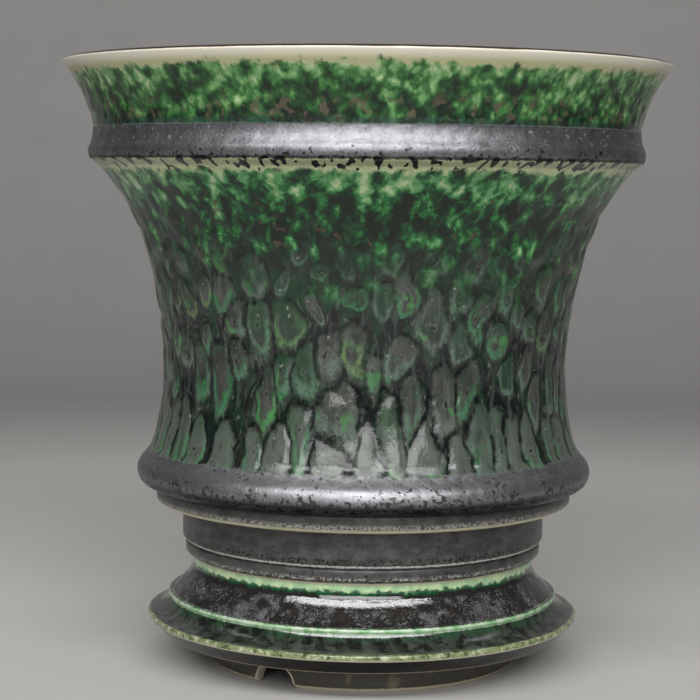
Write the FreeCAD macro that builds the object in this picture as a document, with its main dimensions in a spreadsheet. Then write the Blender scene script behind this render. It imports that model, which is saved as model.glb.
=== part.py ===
"""Porcelain flower pot: a flared bowl on a stepped neck that sits in a flared stand with a notched foot.

Every piece is turned about the Z axis. Millimetres, +Z up, origin under the middle of the foot ring.
"""
import FreeCAD, Part
import os
import Sketcher

# Driving sizes: radii grow outward by steps, and heights stack up from the floor and down from the lip.
SIZES = {
    # whole pot, lip to floor
    "pot_height": 119.05,
    # foot ring
    "foot_height": 6.0,
    "foot_wall": 2.6,
    "foot_reach": 1.2,
    "foot_edge": 0.9,
    "notch_radius": 4.4,
    # pedestal, from its underside up
    "undercut_height": 3.25,
    "undercut_depth": 3.2,
    "rim_face_height": 0.8,
    "apron_height": 3.1,
    "apron_depth": 4.5,
    "apron_share": 0.76,
    "ridge_height": 0.8,
    "ridge_proud": 0.35,
    "ridge_setback": 0.5,
    "flare_height": 4.35,
    "flare_depth": 3.9,
    "flare_share": 0.46,
    "stand_neck_height": 3.5,
    "stand_wall": 4.4,
    "stand_floor": 4.0,
    "stand_drain_radius": 18.0,
    "relief_wall": 2.6,
    "relief_lip": 2.4,
    "relief_height": 7.0,
    "relief_shelf": 1.2,
    "relief_skirt": 3.0,
    # collar, from the end of its spigot up
    "collar_radius": 36.2,
    "collar_wall": 4.0,
    "collar_floor": 3.0,
    "collar_step": 0.6,
    "collar_edge": 0.5,
    "lower_disc_height": 2.4,
    "groove_depth": 0.4,
    "groove_height": 0.3,
    "upper_edge_height": 0.8,
    "upper_disc_height": 6.8,
    "seat_setback": 1.4,
    "spigot_length": 4.8,
    "spigot_wall": 3.0,
    "fit_clearance": 0.4,
    # base plate
    "plate_thickness": 3.5,
    "plate_reach": 1.5,
    "plate_edge_depth": 0.8,
    "plate_edge_height": 0.7,
    "plate_groove": 0.3,
    "drain_radius": 13.0,
    # bowl, from its seat on the base plate up; the wall below the shoulder takes the height that is left
    "waist_radius": 40.0,
    "wall": 3.2,
    "seat_overhang": 1.0,
    "bead_low_height": 2.8,
    "bead_low_share": 0.866,
    "bead_high_height": 2.65,
    "bead_high_depth": 1.03,
    "bead_high_share": 0.776,
    "cove_height": 3.15,
    "cove_depth": 2.27,
    "cove_share": 0.438,
    "lower_wall_height": 14.8,
    "lower_wall_flare": 2.0,
    "lower_wall_share": 0.29,
    "middle_wall_flare": 4.16,
    "middle_wall_share": 0.28,
    "shoulder_height": 14.5,
    "shoulder_flare": 8.74,
    "shoulder_share": 0.375,
    "ledge_height": 1.1,
    "ledge_depth": 1.6,
    "band_edge_height": 2.6,
    "band_bulge": 0.5,
    "band_tuck": 0.15,
    "band_height": 4.1,
    "band_hollow": 0.8,
    "band_share": 0.88,
    "rim_flare_height": 12.15,
    "rim_flare": 5.95,
    "rim_share": 0.33,
    "lip_height": 0.6,
    "lip_thickness": 1.7,
    "lip_crest_share": 0.4,
    # drain screen
    "screen_thickness": 1.6,
    "screen_lap": 6.0,
    "screen_boss_depth": 2.0,
    "screen_clearance": 0.6,
    "screen_hole_radius": 1.5,
    "inner_ring_share": 0.37,
    "outer_ring_share": 0.74,
    # shared
    "half_share": 0.5,
    "cut_overrun": 2.0,
}

# Counts, turns and the least share of a piece that a real cut takes away, which no length drives.
NOTCH_COUNT = 3
NOTCH_TURN = 27.6
INNER_RING_COUNT = 6
OUTER_RING_COUNT = 12
FULL_TURN = 360.0
LEAST_CUT_SHARE = 0.001


class Length:
    """A size of the sheet, or a sum of sizes, held both as a number and as an expression."""

    def __init__(self, value, text):
        self.value = value
        self.text = text

    def __add__(self, other):
        return Length(self.value + other.value, f"{self.text} + {other.text}")

    def __sub__(self, other):
        return Length(self.value - other.value, f"{self.text} - ({other.text})")

    def __mul__(self, other):
        return Length(self.value * other.value, f"({self.text}) * ({other.text})")


def total(*names):
    """The sum of the named sizes."""
    result = size(names[0])
    for name in names[1:]:
        result = result + size(name)
    return result


def size(name):
    return Length(float(getattr(sheet, name)), f"{sheet.Name}.{name}")


def between(first, last, share):
    """The length that lies the given share of the way from the first to the last."""
    return first + (last - first) * share


def make_sheet():
    new_sheet = doc.addObject("Spreadsheet::Sheet", "sizes")
    for row, (name, value) in enumerate(SIZES.items(), start=1):
        new_sheet.set(f"A{row}", name)
        new_sheet.set(f"B{row}", str(value))
        new_sheet.setAlias(f"B{row}", name)
    doc.recompute()
    return new_sheet


def origin_feature(body, role):
    return next(feature for feature in body.Origin.OriginFeatures if feature.Role == role)


def new_body(label, lift=None):
    """A body with the given label, raised by the given length."""
    body = doc.addObject("PartDesign::Body", label)
    body.Label = label
    if lift is not None:
        body.setExpression("Placement.Base.z", lift.text)
    bodies.append(body)
    return body


def new_sketch(body, name, plane):
    sketch = body.newObject("Sketcher::SketchObject", name)
    sketch.AttachmentSupport = [(origin_feature(body, plane), "")]
    sketch.MapMode = "FlatFace"
    return sketch


def hold(sketch, constraint, length):
    """Adds a constraint and binds its value to the sheet."""
    index = sketch.addConstraint(constraint)
    sketch.setExpression(f"Constraints[{index}]", length.text)


def place(sketch, edge, end, radius, height):
    """Fixes one point of an edge at a radius and a height; height None is the base line."""
    hold(sketch, Sketcher.Constraint("DistanceX", -1, 1, edge, end, radius.value), radius)
    if height is None:
        sketch.addConstraint(Sketcher.Constraint("PointOnObject", edge, end, -1))
    else:
        hold(sketch, Sketcher.Constraint("DistanceY", -1, 1, edge, end, height.value), height)


class Outline:
    """A closed outline of lines and arcs on a body's XZ plane, drawn point by point."""

    def __init__(self, body, name):
        self.sketch = new_sketch(body, name, "XZ_Plane")
        self.points = []
        self.edges = []

    def vector(self, radius, height):
        return FreeCAD.Vector(radius.value, height.value if height is not None else 0, 0)

    def start(self, radius, height):
        self.points.append((radius, height))

    def line(self, radius, height):
        first = self.vector(*self.points[-1])
        self.add_edge(Part.LineSegment(first, self.vector(radius, height)), (1, 2), radius, height)

    def arc(self, middle, radius, height):
        """An arc through a middle point, given as its radius and height, to the next point."""
        first = self.vector(*self.points[-1])
        through = self.vector(*middle)
        last = self.vector(radius, height)
        if (through - first).cross(last - through).z > 0:
            edge = self.add_edge(Part.Arc(first, through, last), (1, 2), radius, height)
        else:
            # Sketch arcs run anticlockwise, so one that turns the other way is drawn from its far end.
            edge = self.add_edge(Part.Arc(last, through, first), (2, 1), radius, height)
        point = self.sketch.addGeometry(Part.Point(through), True)
        place(self.sketch, point, 1, *middle)
        self.sketch.addConstraint(Sketcher.Constraint("PointOnObject", point, 1, edge))

    def add_edge(self, curve, ends, radius, height):
        """Adds an edge whose first and last ends are numbered as given, and joins it to the one before."""
        edge = self.sketch.addGeometry(curve, False)
        begins, finishes = ends
        if self.edges:
            last_edge, _, last_end = self.edges[-1]
            self.sketch.addConstraint(Sketcher.Constraint("Coincident", last_edge, last_end, edge, begins))
        else:
            place(self.sketch, edge, begins, *self.points[0])
        place(self.sketch, edge, finishes, radius, height)
        self.edges.append((edge, begins, finishes))
        self.points.append((radius, height))
        return edge

    def close(self):
        """Draws the last line back to the first point."""
        edge = self.sketch.addGeometry(
            Part.LineSegment(self.vector(*self.points[-1]), self.vector(*self.points[0])), False
        )
        last_edge, _, last_end = self.edges[-1]
        first_edge, first_begins, _ = self.edges[0]
        self.sketch.addConstraint(Sketcher.Constraint("Coincident", last_edge, last_end, edge, 1))
        self.sketch.addConstraint(Sketcher.Constraint("Coincident", edge, 2, first_edge, first_begins))
        return self.sketch


def turn(body, name, sketch):
    """Revolves the outline once about the upright axis."""
    solid = body.newObject("PartDesign::Revolution", name)
    solid.Profile = sketch
    solid.ReferenceAxis = (sketch, ["V_Axis"])
    solid.Angle = FULL_TURN
    doc.recompute()
    return solid


def cut_round(body, name, plane, centre, radius, depth):
    """Cuts a round hole from a plane of the body, at a length along its first axis, and proves it cuts."""
    before = body.Tip.Shape.Volume
    sketch = new_sketch(body, f"{name}_outline", plane)
    middle = FreeCAD.Vector(centre.value if centre is not None else 0, 0, 0)
    circle = sketch.addGeometry(Part.Circle(middle, FreeCAD.Vector(0, 0, 1), radius.value), False)
    hold(sketch, Sketcher.Constraint("Radius", circle, radius.value), radius)
    if centre is None:
        sketch.addConstraint(Sketcher.Constraint("Coincident", circle, 3, -1, 1))
    else:
        place(sketch, circle, 3, centre, None)
    pocket = body.newObject("PartDesign::Pocket", name)
    pocket.Profile = sketch
    pocket.setExpression("Length", depth.text)
    for reversed_way in (False, True):
        pocket.Reversed = reversed_way
        doc.recompute()
        if before - pocket.Shape.Volume > before * LEAST_CUT_SHARE:
            return pocket
    raise RuntimeError(f"{name} cuts nothing")


def repeat_round(body, name, feature, count):
    """Repeats a cut evenly about the upright axis."""
    pattern = body.newObject("PartDesign::PolarPattern", name)
    pattern.Originals = [feature]
    pattern.Axis = (origin_feature(body, "Z_Axis"), [""])
    pattern.Angle = FULL_TURN
    pattern.Occurrences = count
    body.Tip = pattern
    doc.recompute()
    return pattern


def make_foot_ring():
    """The ring that stands on the table, with arched notches that let air and water through."""
    body = new_body("foot_ring")
    inner = foot_radius - size("foot_wall")
    outline = Outline(body, "foot_ring_outline")
    outline.start(inner, None)
    outline.line(foot_radius - size("foot_edge"), None)
    outline.line(foot_radius, size("foot_edge"))
    outline.line(foot_radius, size("foot_height"))
    outline.line(inner, size("foot_height"))
    turn(body, "foot_ring_solid", outline.close())
    depth = foot_radius + size("cut_overrun")
    notch = cut_round(body, "foot_notch", "XZ_Plane", None, size("notch_radius"), depth)
    repeat_round(body, "foot_notches", notch, NOTCH_COUNT)
    body.Placement.Rotation = FreeCAD.Rotation(FreeCAD.Vector(0, 0, 1), NOTCH_TURN)


def make_pedestal():
    """The flared stand: two fine ridges outside, a well for the spigot, a hollowed underside."""
    body = new_body("pedestal", size("foot_height"))
    face_low = size("undercut_height")
    face_high = face_low + size("rim_face_height")
    ridge_low = face_high + size("apron_height")
    ridge_high = ridge_low + size("ridge_height")
    flare_top = ridge_high + size("flare_height")
    edge_radius = stand_radius - size("undercut_depth")
    relief_inner = well_radius + size("relief_wall")
    relief_outer = edge_radius - size("relief_lip")
    half = size("half_share")

    outline = Outline(body, "pedestal_outline")
    outline.start(relief_outer, None)
    outline.line(edge_radius, None)
    outline.line(stand_radius, face_low)
    outline.line(stand_radius, face_high)
    outline.arc(
        (between(stand_radius, ridge_radius, size("apron_share")), between(face_high, ridge_low, half)),
        ridge_radius,
        ridge_low,
    )
    outline.arc(
        (ridge_radius + size("ridge_proud"), between(ridge_low, ridge_high, half)), flare_radius, ridge_high
    )
    outline.arc(
        (
            between(flare_radius, stand_top_radius, size("flare_share")),
            between(ridge_high, flare_top, half),
        ),
        stand_top_radius,
        flare_top,
    )
    outline.line(stand_top_radius, stand_height)
    outline.line(well_radius, stand_height)
    outline.line(well_radius, size("stand_floor"))
    outline.line(size("stand_drain_radius"), size("stand_floor"))
    outline.line(size("stand_drain_radius"), None)
    outline.line(relief_inner, None)
    outline.line(relief_inner, size("relief_height"))
    outline.line(relief_inner + size("relief_shelf"), size("relief_height"))
    outline.line(relief_outer, size("relief_skirt"))
    turn(body, "pedestal_solid", outline.close())


def make_collar():
    """The hollow neck of two turned discs, with the spigot that drops into the stand's well."""
    body = new_body("collar", size("foot_height") + stand_height - size("spigot_length"))
    seat = size("spigot_length")
    lower_radius = size("collar_radius") - size("collar_step")
    lower_top = seat + size("lower_disc_height")
    groove_top = lower_top + size("groove_height")
    edge_top = groove_top + size("upper_edge_height")
    top = edge_top + size("upper_disc_height")
    groove_radius = lower_radius - size("groove_depth")
    bore = spigot_radius - size("spigot_wall")
    chamber = size("collar_radius") - size("collar_wall")

    outline = Outline(body, "collar_outline")
    outline.start(bore, None)
    outline.line(spigot_radius, None)
    outline.line(spigot_radius, seat)
    outline.line(lower_radius - size("collar_edge"), seat)
    outline.line(lower_radius, seat + size("collar_edge"))
    outline.line(lower_radius, lower_top)
    outline.line(groove_radius, lower_top + size("groove_height") * size("half_share"))
    outline.line(lower_radius, groove_top)
    outline.line(size("collar_radius"), edge_top)
    outline.line(size("collar_radius"), top)
    outline.line(chamber, top)
    outline.line(chamber, seat + size("collar_floor"))
    outline.line(bore, seat + size("collar_floor"))
    turn(body, "collar_solid", outline.close())


def make_base_plate():
    """The floor of the bowl, whose edge is the step under the bead, with the drain hole."""
    body = new_body("base_plate", plate_level)
    outline = Outline(body, "base_plate_outline")
    outline.start(size("drain_radius"), None)
    outline.line(plate_radius - size("plate_edge_depth"), None)
    outline.line(plate_radius, size("plate_edge_height"))
    outline.line(plate_radius, size("plate_thickness") - size("plate_groove"))
    outline.line(plate_radius - size("plate_groove"), size("plate_thickness"))
    outline.line(size("drain_radius"), size("plate_thickness"))
    turn(body, "base_plate_solid", outline.close())


def make_bowl():
    """The flared bowl, open at both ends: bead, hollow wall, banded shoulder and thin lip."""
    body = new_body("bowl", bowl_level)
    half = size("half_share")
    wall = size("wall")
    waist = size("waist_radius")
    cove_radius = waist + size("lower_wall_flare")
    seat_radius = plate_radius + size("seat_overhang")
    bead_top_radius = cove_radius + size("cove_depth")
    bead_radius = bead_top_radius + size("bead_high_depth")
    knee_radius = waist + size("middle_wall_flare")
    shoulder_radius = knee_radius + size("shoulder_flare")
    ledge_radius = shoulder_radius + size("ledge_depth")
    band_radius = ledge_radius + size("band_bulge")
    band_low_radius = band_radius - size("band_tuck")
    throat_radius = band_low_radius - size("band_hollow")
    rim_radius = throat_radius + size("rim_flare")
    lip_inner = rim_radius - size("lip_thickness")

    bead_level = size("bead_low_height")
    bead_top = bead_level + size("bead_high_height")
    cove_top = bead_top + size("cove_height")
    waist_level = cove_top + size("lower_wall_height")
    crest_level = size("pot_height") - bowl_level
    lip_level = crest_level - size("lip_height")
    band_top = lip_level - size("rim_flare_height")
    band_low = band_top - size("band_height")
    ledge_level = band_low - size("band_edge_height")
    shoulder_level = ledge_level - size("ledge_height")
    knee_level = shoulder_level - size("shoulder_height")

    outline = Outline(body, "bowl_outline")
    outline.start(waist - wall, None)
    outline.line(seat_radius, None)
    outline.arc(
        (between(seat_radius, bead_radius, size("bead_low_share")), bead_level * half),
        bead_radius,
        bead_level,
    )
    outline.arc(
        (
            between(bead_top_radius, bead_radius, size("bead_high_share")),
            between(bead_level, bead_top, half),
        ),
        bead_top_radius,
        bead_top,
    )
    outline.arc(
        (between(cove_radius, bead_top_radius, size("cove_share")), between(bead_top, cove_top, half)),
        cove_radius,
        cove_top,
    )
    outline.arc(
        (between(waist, cove_radius, size("lower_wall_share")), between(cove_top, waist_level, half)),
        waist,
        waist_level,
    )
    outline.arc(
        (between(waist, knee_radius, size("middle_wall_share")), between(waist_level, knee_level, half)),
        knee_radius,
        knee_level,
    )
    outline.arc(
        (
            between(knee_radius, shoulder_radius, size("shoulder_share")),
            between(knee_level, shoulder_level, half),
        ),
        shoulder_radius,
        shoulder_level,
    )
    outline.line(ledge_radius, ledge_level)
    outline.arc((band_radius, between(ledge_level, band_low, half)), band_low_radius, band_low)
    outline.arc(
        (between(band_low_radius, throat_radius, size("band_share")), between(band_low, band_top, half)),
        throat_radius,
        band_top,
    )
    outline.arc(
        (between(throat_radius, rim_radius, size("rim_share")), between(band_top, lip_level, half)),
        rim_radius,
        lip_level,
    )
    outline.arc(
        (between(rim_radius, lip_inner, size("lip_crest_share")), crest_level), lip_inner, lip_level
    )
    outline.arc(
        (between(throat_radius - wall, lip_inner, size("rim_share")), between(band_top, lip_level, half)),
        throat_radius - wall,
        band_top,
    )
    outline.line(shoulder_radius - wall, shoulder_level)
    outline.arc(
        (
            between(knee_radius, shoulder_radius, size("shoulder_share")) - wall,
            between(knee_level, shoulder_level, half),
        ),
        knee_radius - wall,
        knee_level,
    )
    outline.arc(
        (
            between(waist, knee_radius, size("middle_wall_share")) - wall,
            between(waist_level, knee_level, half),
        ),
        waist - wall,
        waist_level,
    )
    turn(body, "bowl_solid", outline.close())


def make_drain_screen():
    """A perforated disc that lies over the drain hole, with a boss that keeps it centred."""
    body = new_body("drain_screen", bowl_level - size("screen_boss_depth"))
    boss = size("drain_radius") - size("screen_clearance")
    flange = size("drain_radius") + size("screen_lap")
    top = size("screen_boss_depth") + size("screen_thickness")
    outline = Outline(body, "drain_screen_outline")
    outline.start(size("screen_hole_radius"), None)
    outline.line(boss, None)
    outline.line(boss, size("screen_boss_depth"))
    outline.line(flange, size("screen_boss_depth"))
    outline.line(flange, top)
    outline.line(size("screen_hole_radius"), top)
    turn(body, "drain_screen_solid", outline.close())
    depth = top + size("cut_overrun")
    for ring, share, count in (
        ("inner", "inner_ring_share", INNER_RING_COUNT),
        ("outer", "outer_ring_share", OUTER_RING_COUNT),
    ):
        centre = boss * size(share)
        hole = cut_round(body, f"{ring}_hole", "XY_Plane", centre, size("screen_hole_radius"), depth)
        repeat_round(body, f"{ring}_holes", hole, count)


def check_and_write():
    """Stops on any failed object or bad solid, then writes one file for each piece."""
    for item in doc.Objects:
        if "Invalid" in item.State or "Error" in item.State:
            raise RuntimeError(f"{item.Label} failed: {item.State}")
    for body in bodies:
        shape = body.Shape
        if shape.isNull() or not shape.isValid() or len(shape.Solids) != 1:
            raise RuntimeError(f"{body.Label} is not one sound solid")
    os.makedirs("parts", exist_ok=True)
    for body in bodies:
        box = body.Shape.optimalBoundingBox()
        body.Shape.exportStep(f"parts/{body.Label}.step")
        levels = f"z {box.ZMin:.2f} to {box.ZMax:.2f}"
        print(f"{body.Label}: {levels}, across {box.XLength:.2f}, {body.Shape.Volume:.0f} mm3")


doc = FreeCAD.newDocument("flower_pot")
sheet = make_sheet()
bodies = []

# Radii and levels that more than one piece shares.
stand_top_radius = size("collar_radius") - size("collar_step") - size("seat_setback")
well_radius = stand_top_radius - size("stand_wall")
spigot_radius = well_radius - size("fit_clearance")
flare_radius = stand_top_radius + size("flare_depth")
ridge_radius = flare_radius + size("ridge_setback")
stand_radius = ridge_radius + size("apron_depth")
foot_radius = well_radius + size("foot_reach")
plate_radius = size("waist_radius") + size("plate_reach")
stand_height = total(
    "undercut_height",
    "rim_face_height",
    "apron_height",
    "ridge_height",
    "flare_height",
    "stand_neck_height",
)
plate_level = (
    size("foot_height")
    + stand_height
    + total("lower_disc_height", "groove_height", "upper_edge_height", "upper_disc_height")
)
bowl_level = plate_level + size("plate_thickness")

make_foot_ring()
make_pedestal()
make_collar()
make_base_plate()
make_bowl()
make_drain_screen()
doc.recompute()
check_and_write()
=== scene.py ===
import math

import bpy
import numpy as np
from mathutils import Matrix, Vector


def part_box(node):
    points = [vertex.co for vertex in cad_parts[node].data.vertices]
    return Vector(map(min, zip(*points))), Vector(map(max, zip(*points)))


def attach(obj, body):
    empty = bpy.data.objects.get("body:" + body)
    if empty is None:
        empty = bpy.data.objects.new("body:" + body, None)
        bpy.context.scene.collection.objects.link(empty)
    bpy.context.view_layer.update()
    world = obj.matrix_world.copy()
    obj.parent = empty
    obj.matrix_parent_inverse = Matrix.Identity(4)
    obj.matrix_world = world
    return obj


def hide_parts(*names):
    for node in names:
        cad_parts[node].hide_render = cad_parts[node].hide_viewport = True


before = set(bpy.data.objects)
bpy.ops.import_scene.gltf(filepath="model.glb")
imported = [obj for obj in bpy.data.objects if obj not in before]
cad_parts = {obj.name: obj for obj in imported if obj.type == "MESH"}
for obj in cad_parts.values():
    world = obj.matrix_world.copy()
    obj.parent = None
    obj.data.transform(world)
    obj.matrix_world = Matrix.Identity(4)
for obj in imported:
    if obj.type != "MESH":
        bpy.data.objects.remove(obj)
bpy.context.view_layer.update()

MM = 0.001
SEED = 7

# Sections of the turned pieces in millimetres, as radius and height above the floor.
# A step of one point is a straight run to it, and a step of two is an arc through the first to the second.
BOWL_OUTSIDE = [
    [(42.5, 35.6)],
    [(44.925, 37.0), (45.3, 38.4)],
    [(45.069, 39.725), (44.27, 41.05)],
    [(43.19, 42.35), (42.31, 43.65)],
    [(41.94, 44.525), (41.71, 45.4)],
    [(40.5, 52.2), (40.0, 59.0)],
    [(41.165, 71.5), (44.16, 84.0)],
    [(47.438, 91.25), (52.9, 98.5)],
    [(54.5, 99.6)],
    [(55.0, 100.9), (54.85, 102.2)],
    [(54.146, 104.25), (54.05, 106.3)],
    [(56.013, 112.375), (60.0, 118.45)],
    [(59.32, 119.05), (58.3, 118.45)],
]
BOWL_INSIDE = [
    [(53.309, 112.375), (50.85, 106.3)],
    [(49.7, 98.5)],
    [(44.238, 91.25), (40.96, 84.0)],
    [(37.965, 71.5), (36.8, 59.0)],
    [(36.8, 35.6)],
]
PLATE_SECTION = [
    [(13.0, 32.1)],
    [(40.7, 32.1)],
    [(41.5, 32.8)],
    [(41.5, 35.3)],
    [(41.2, 35.6)],
    [(13.0, 35.6)],
]
COLLAR_SECTION = [
    [(26.4, 17.0)],
    [(29.4, 17.0)],
    [(29.4, 21.8)],
    [(35.1, 21.8)],
    [(35.6, 22.3)],
    [(35.6, 24.2)],
    [(35.2, 24.35)],
    [(35.6, 24.5)],
    [(36.2, 25.3)],
    [(36.2, 32.1)],
    [(32.2, 32.1)],
    [(32.2, 24.8)],
    [(26.4, 24.8)],
]
PEDESTAL_SECTION = [
    [(37.5, 6.0)],
    [(39.9, 6.0)],
    [(43.1, 9.25)],
    [(43.1, 10.05)],
    [(39.68, 11.6), (38.6, 13.15)],
    [(38.95, 13.55), (38.1, 13.95)],
    [(37.05, 15.2), (35.75, 16.5)],
    [(35.4, 16.9), (35.08, 17.4)],
    [(34.73, 18.05), (34.44, 18.7)],
    [(34.24, 19.4), (34.2, 20.2)],
    [(34.2, 21.8)],
    [(29.8, 21.8)],
    [(29.8, 10.0)],
    [(18.0, 10.0)],
    [(18.0, 6.0)],
    [(32.4, 6.0)],
    [(32.4, 13.0)],
    [(33.6, 13.0)],
    [(37.5, 9.0)],
]
FOOT_SECTION = [
    [(28.4, 0.0)],
    [(30.1, 0.0)],
    [(31.0, 0.9)],
    [(31.0, 6.0)],
    [(28.4, 6.0)],
]
NOTCH_RADIUS = 4.4
NOTCH_ANGLES = [math.radians(angle) for angle in (117.6, 237.6, 357.6)]

# Rows of a section: the rounding of its corners, the spacing of the dense points that rows are picked from
# and the least distance between rows, in millimetres, and the most that it turns between rows, in radians.
CORNER = 0.13
DENSE = 0.03
ROW_LEAST = 0.1
ROW_TURN = 0.32
# Distance between rows where a section hardly bends, and columns round the axis, for each kind of piece.
BOWL_PITCH, BAND_PITCH, INSIDE_PITCH, BOWL_COLUMNS = 0.5, 0.4, 3.0, 640
NECK_PITCH, NECK_COLUMNS, NECK_RIPPLE = 0.8, 384, 0.03
STAND_PITCH, STAND_COLUMNS, STAND_RIPPLE = 0.5, 480, 0.05
FOOT_PITCH, FOOT_COLUMNS = 0.5, 960
# The most that a section may miss the solid that it stands for.
FIT_SLACK = 0.15
# The ripple of a turned piece starts this far from its top and bottom, and outside this radius.
RIPPLE_MARGIN = (0.4, 1.2)
RIPPLE_RADIUS = (33.6, 34.0)

# Glaze cells of the bowl's wall: their number round it, their width, the least distance between their
# middles in cells, the tries at placing one, the spread of their sizes and the half width of the seams.
CELL_COLUMNS = 52
CELL_WIDTH = 5.3
CELL_SPACING = 0.82
CELL_TRIES = 9000
CELL_SIZES = (0.65, 1.35)
SEAM_HALF = 0.3
# Their height by level, and the size of the drop in each, in cells, by level.
CELL_LEVELS = [40.0, 54.0, 60.0, 66.0, 82.0, 104.0]
CELL_HEIGHTS = [17.0, 14.0, 11.0, 9.0, 7.5, 5.5]
DROP_LEVELS = [46.0, 54.0, 64.0]
DROP_SIZES = [0.60, 0.52, 0.44]
# Points that are matched with all cells at a time.
BATCH = 8000

# Zones of relief on the bowl's outside: the levels over which each comes in and those over which it ends.
CELL_ZONE = (42.6, 44.0), (96.5, 98.3)
RIM_ZONE = (106.4, 107.6), (114.5, 116.5)
BAND_ZONE = (99.4, 100.4), (105.6, 106.4)
BEAD_ZONE = (36.4, 37.4), (43.0, 44.0)
# The cells lose this share of their relief over these levels.
CELL_LOSS, CELL_LOSS_LEVELS = 0.6, (86.0, 94.0)
# Heights of the relief in millimetres.
DROP_HEIGHT, SEAM_HEIGHT, CRUST_HEIGHT, CELL_SINK, CELL_UNEVEN = 0.26, 0.1, 0.1, 0.18, 0.1
RIM_SINK = 0.05
# A line inside the bowl's wall, by level, that parts its outside from its inside.
WALL_LEVELS = [36.0, 59.0, 84.0, 98.5, 106.0, 118.45, 119.3]
WALL_RADII = [40.0, 38.2, 42.4, 51.2, 52.4, 59.2, 59.2]

# Borders of the bowl's glazes: the levels over which one gives way to the next.
CREST = (118.59, 118.75)
LIP_FOOT = (115.6, 116.6)
BAND_TOP = (105.8, 106.2)
LEDGE_TOP = (99.9, 99.6)
WALL_TOP = (98.7, 98.4)
LINE_FOOT = (97.3, 98.3)
FLECKS_FOOT = (73.0, 88.0)
BEAD_TOP = (43.1, 42.5)


def run_points(steps, pitch):
    """Dense points along the steps, from the first step's point on."""
    points = [np.array(steps[0][-1], float)]
    for step in steps[1:]:
        first, last = points[-1], np.array(step[-1], float)
        if len(step) == 1:
            count = max(2, math.ceil(np.hypot(*(last - first)) / pitch))
            for share in np.linspace(0, 1, count + 1)[1:]:
                points.append(first + (last - first) * share)
            continue
        middle = np.array(step[0], float)
        sides = 2 * np.array([middle - first, last - first])
        squares = np.array([middle @ middle - first @ first, last @ last - first @ first])
        centre = np.linalg.solve(sides, squares)
        turns = np.unwrap([math.atan2(*(point - centre)[::-1]) for point in (first, middle, last)])
        radius = np.hypot(*(first - centre))
        count = max(3, math.ceil(radius * abs(turns[2] - turns[0]) / pitch))
        for turn in np.linspace(turns[0], turns[2], count + 1)[1:]:
            points.append(centre + radius * np.array([math.cos(turn), math.sin(turn)]))
    return np.array(points)


def section_rows(steps, pitch_at):
    """Rows of a closed section with its corners eased, closer together where it bends."""
    loop = run_points(steps + [steps[0]], DENSE)
    along = np.concatenate([[0], np.cumsum(np.hypot(*np.diff(loop, axis=0).T))])
    count = int(along[-1] / DENSE)
    even = np.linspace(0, along[-1], count, endpoint=False)
    points = np.stack([np.interp(even, along, loop[:, axis]) for axis in (0, 1)], axis=1)
    reach = int(4 * CORNER / DENSE)
    weights = np.exp(-0.5 * (np.arange(-reach, reach + 1) * DENSE / CORNER) ** 2)
    weights /= weights.sum()
    padded = np.concatenate([points[-reach:], points, points[:reach]])
    points = np.stack([np.convolve(padded[:, axis], weights, "valid") for axis in (0, 1)], axis=1)
    tangent = np.roll(points, -1, axis=0) - np.roll(points, 1, axis=0)
    heading = np.unwrap(np.arctan2(tangent[:, 1], tangent[:, 0]))
    bend = np.abs(np.gradient(heading)) / DENSE
    pitch = np.minimum(pitch_at(points), ROW_TURN / np.maximum(bend, 1e-6))
    pitch = np.maximum(pitch, ROW_LEAST)
    placed = np.concatenate([[0], np.cumsum(DENSE / pitch)])
    rows = int(round(placed[-1]))
    spots = np.interp(np.arange(rows) / rows * placed[-1], placed, np.arange(count + 1))
    whole = np.arange(count)
    return np.stack([np.interp(spots, whole, points[:, axis], period=count) for axis in (0, 1)], axis=1)


def outward(rows):
    """Unit normals of a closed section that runs anticlockwise."""
    tangent = np.roll(rows, -1, axis=0) - np.roll(rows, 1, axis=0)
    normal = np.stack([tangent[:, 1], -tangent[:, 0]], axis=1)
    return normal / np.linalg.norm(normal, axis=1, keepdims=True)


def smooth_noise(points, grain, seed):
    """Smooth random values from -1 to 1 at points in millimetres, with the given grain."""
    side = 40
    grid = np.random.default_rng(SEED * 100 + seed).uniform(-1, 1, (side, side, side))
    scaled = points / grain
    cell = np.floor(scaled).astype(int)
    part = scaled - cell
    part = part * part * (3 - 2 * part)
    value = np.zeros(points.shape[:-1])
    for corner in range(8):
        bits = np.array([corner & 1, corner >> 1 & 1, corner >> 2 & 1])
        index = (cell + bits) % side
        weight = np.prod(np.where(bits, part, 1 - part), axis=-1)
        value += weight * grid[index[..., 0], index[..., 1], index[..., 2]]
    return value


def waver(points, seed, *waves):
    """Smooth noises of the given grains and sizes added up, with seeds that count up from the first."""
    return sum(size * smooth_noise(points, grain, seed + step) for step, (grain, size) in enumerate(waves))


def ease(value, low, high):
    """0 below low, 1 above high, smooth between."""
    share = np.clip((value - low) / (high - low), 0, 1)
    return share * share * (3 - 2 * share)


def zone(value, start, end):
    """Comes in over the start's two values and goes out over the end's."""
    return ease(value, *start) * (1 - ease(value, *end))


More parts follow.
